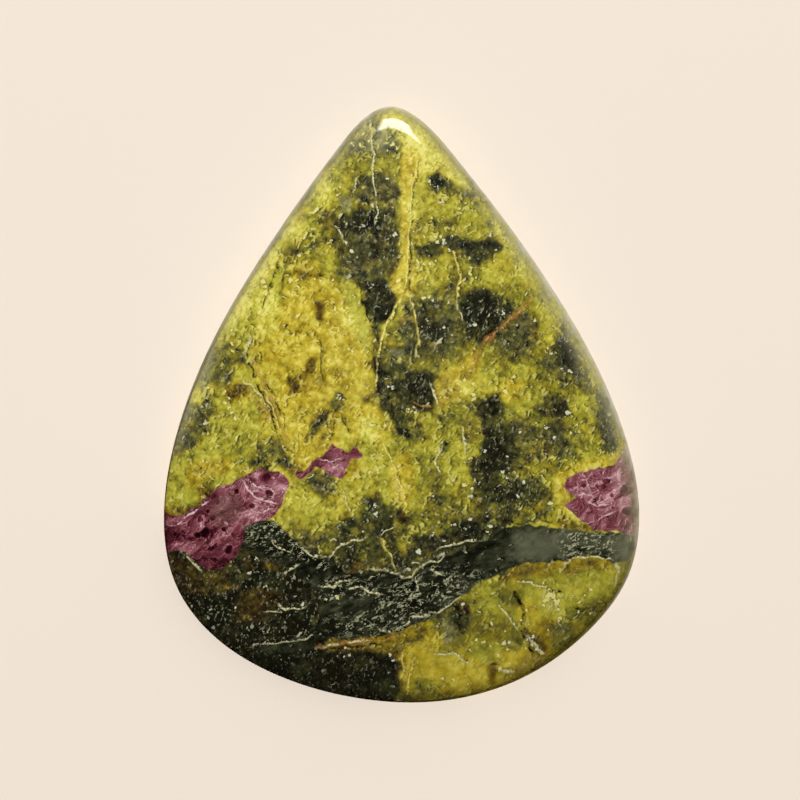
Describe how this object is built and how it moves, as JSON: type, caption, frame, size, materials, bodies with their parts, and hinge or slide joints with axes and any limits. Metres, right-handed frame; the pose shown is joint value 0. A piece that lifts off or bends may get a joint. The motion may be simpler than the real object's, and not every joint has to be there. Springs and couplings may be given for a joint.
{
  "type": "atlantisite pear cabochon",
  "caption": "Polished pear-shaped cabochon of atlantisite with a low dome, a leaning side and a flat back.",
  "frame": {"origin": "middle of the stone's box, on the plane of its flat back", "axes": "+Y runs towards the stone's point, +Z out of its dome, +X to the right when the dome is seen with the point up"},
  "size_m": [0.0318, 0.04, 0.0065],
  "materials": {
    "polished_stone": "polished"
  },
  "bodies": {
    "root": {"stone": "polished_stone"}
  },
  "joints": []
}
